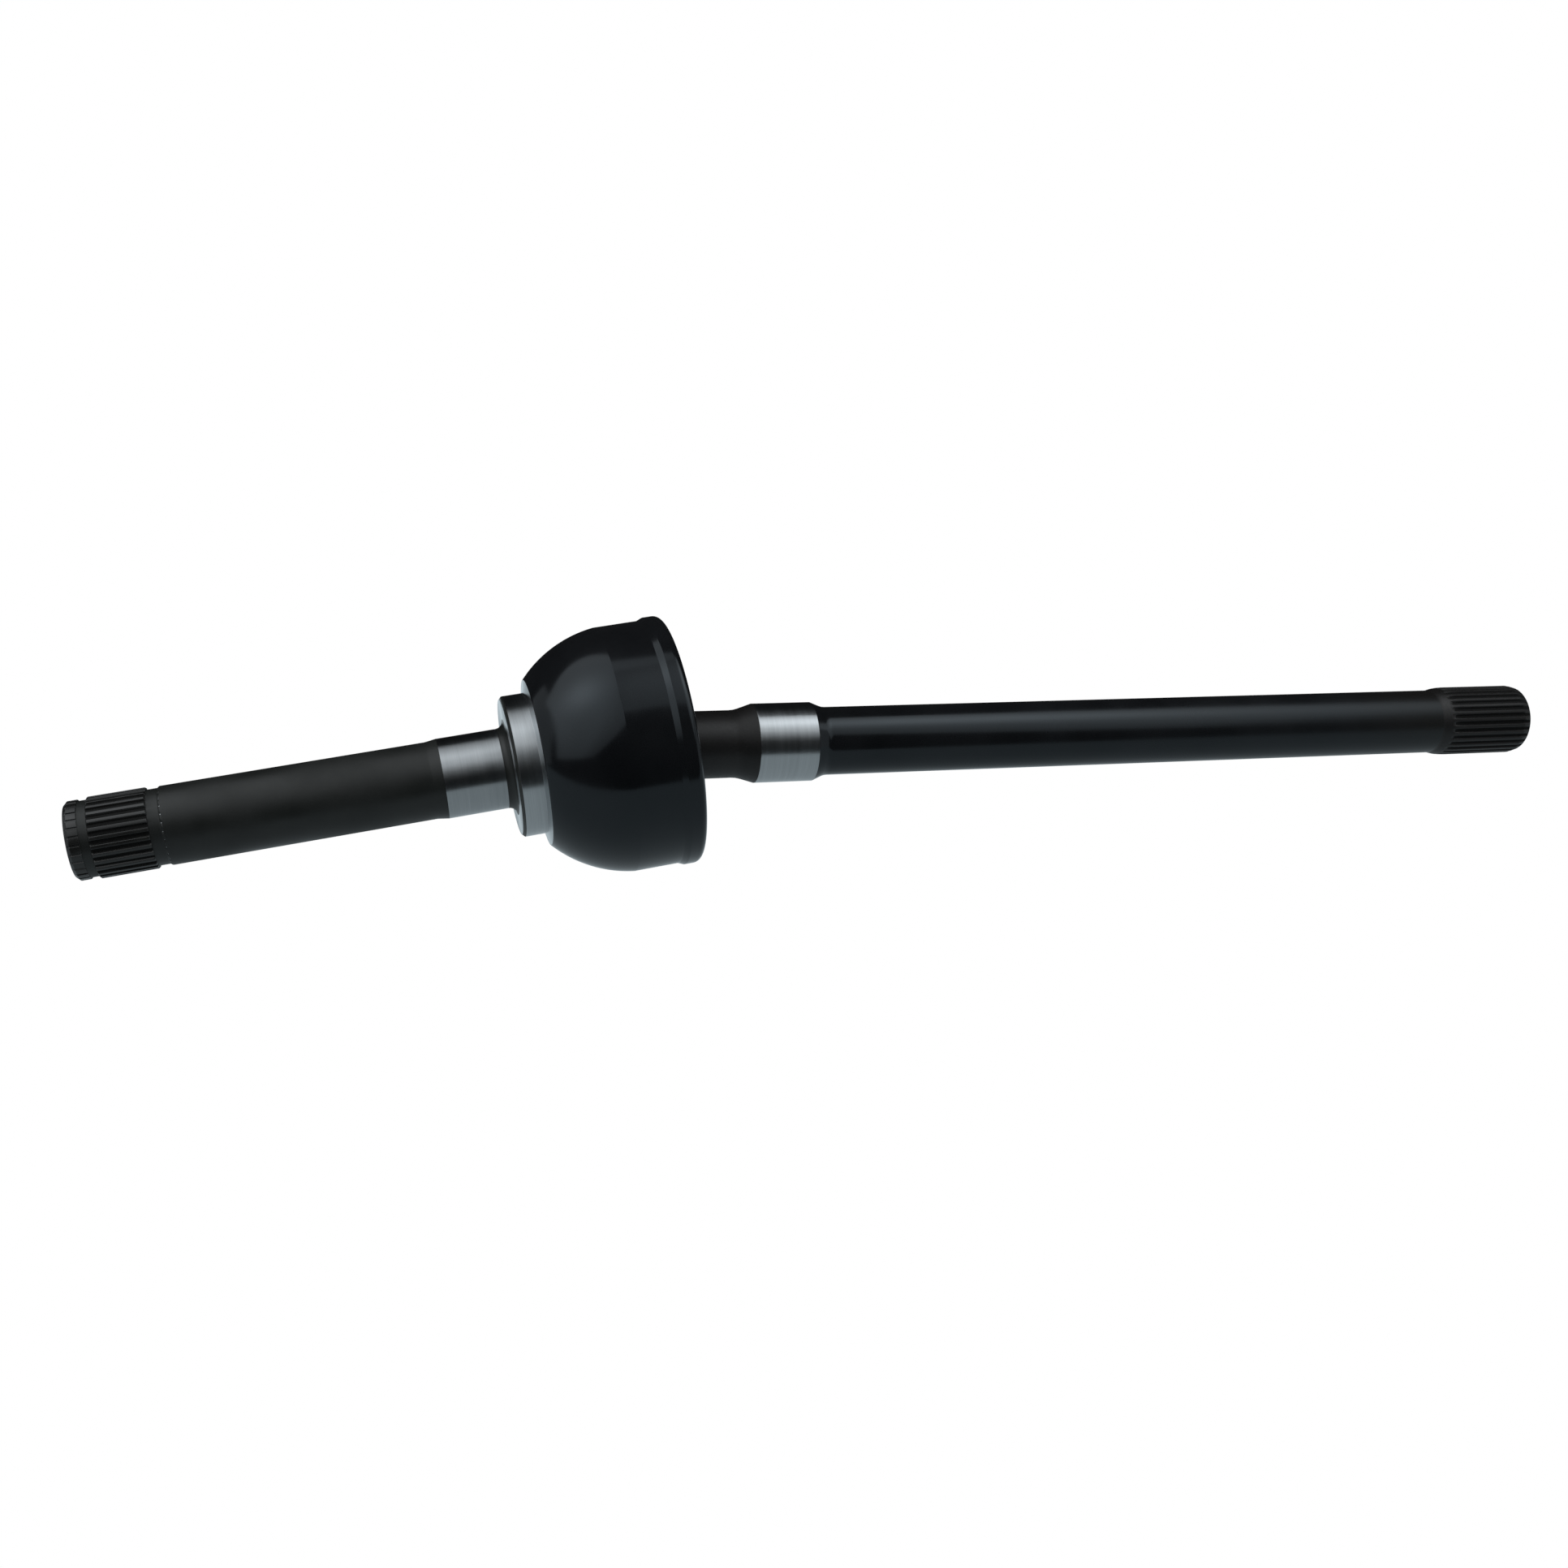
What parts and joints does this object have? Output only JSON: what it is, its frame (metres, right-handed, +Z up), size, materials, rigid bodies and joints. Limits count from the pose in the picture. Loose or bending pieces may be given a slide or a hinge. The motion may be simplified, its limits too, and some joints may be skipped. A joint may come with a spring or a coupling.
{
  "type": "front axle shaft with constant velocity joint",
  "caption": "Splined stub shaft with thrust flange and domed bell, joined by an inboard ball-type constant velocity joint to a long splined axle shaft with a ground seal journal.",
  "frame": {"origin": "centre of the constant velocity joint, where the kingpin axis crosses the stub shaft's axis", "axes": "-X runs outboard along the stub shaft, +X points inboard, +Z is up, Y is the axis the joint bends about; at rest the inner shaft drops 7.8 degrees below +X"},
  "size_m": [0.653, 0.1058, 0.1268],
  "materials": {
    "black_oxide_steel": "gloss black over turned steel",
    "ground_steel": "ground",
    "phosphated_steel": "matte grey phosphate",
    "bearing_steel": "polished",
    "spring_steel": "oiled"
  },
  "bodies": {
    "outer_half": {"outer_race_stub_shaft": "black_oxide_steel"},
    "inner_half": {"inner_axle_shaft": "black_oxide_steel", "inner_race": "ground_steel", "stop_ring": "spring_steel", "retaining_circlip": "spring_steel"},
    "cage": {"ball_cage": "phosphated_steel", "ball_1": "bearing_steel", "ball_4": "bearing_steel"},
    "rolling_ball_2": {"ball_2": "bearing_steel"},
    "rolling_ball_3": {"ball_3": "bearing_steel"},
    "rolling_ball_5": {"ball_5": "bearing_steel"},
    "rolling_ball_6": {"ball_6": "bearing_steel"}
  },
  "joints": [
    {"name": "joint_bend", "type": "hinge", "parent": "outer_half", "child": "inner_half", "pos_m": [0, 0, 0], "axis": [0, 1, 0], "range_deg": [-47.8, 32.2]},
    {"name": "cage_tilt", "type": "hinge", "parent": "outer_half", "child": "cage", "pos_m": [0, 0, 0], "axis": [0, 1, 0], "range_deg": [-24, 16.2]},
    {"name": "ball_2_roll", "type": "hinge", "parent": "outer_half", "child": "rolling_ball_2", "pos_m": [0.004, 0, 0], "axis": [0, 0.866, -0.5], "range_deg": [-21.01, 14.19]},
    {"name": "ball_3_roll", "type": "hinge", "parent": "outer_half", "child": "rolling_ball_3", "pos_m": [0.004, 0, 0], "axis": [0, 0.866, 0.5], "range_deg": [-21.01, 14.19]},
    {"name": "ball_5_roll", "type": "hinge", "parent": "outer_half", "child": "rolling_ball_5", "pos_m": [0.004, 0, 0], "axis": [0, -0.866, 0.5], "range_deg": [-14.19, 21.01]},
    {"name": "ball_6_roll", "type": "hinge", "parent": "outer_half", "child": "rolling_ball_6", "pos_m": [0.004, 0, 0], "axis": [0, -0.866, -0.5], "range_deg": [-14.19, 21.01]}
  ],
  "couplings": [
    {"joint": "cage_tilt", "follows": "joint_bend", "ratio": 0.5},
    {"joint": "ball_2_roll", "follows": "joint_bend", "ratio": 0.4375},
    {"joint": "ball_3_roll", "follows": "joint_bend", "ratio": 0.4375},
    {"joint": "ball_5_roll", "follows": "joint_bend", "ratio": -0.4375},
    {"joint": "ball_6_roll", "follows": "joint_bend", "ratio": -0.4375}
  ]
}
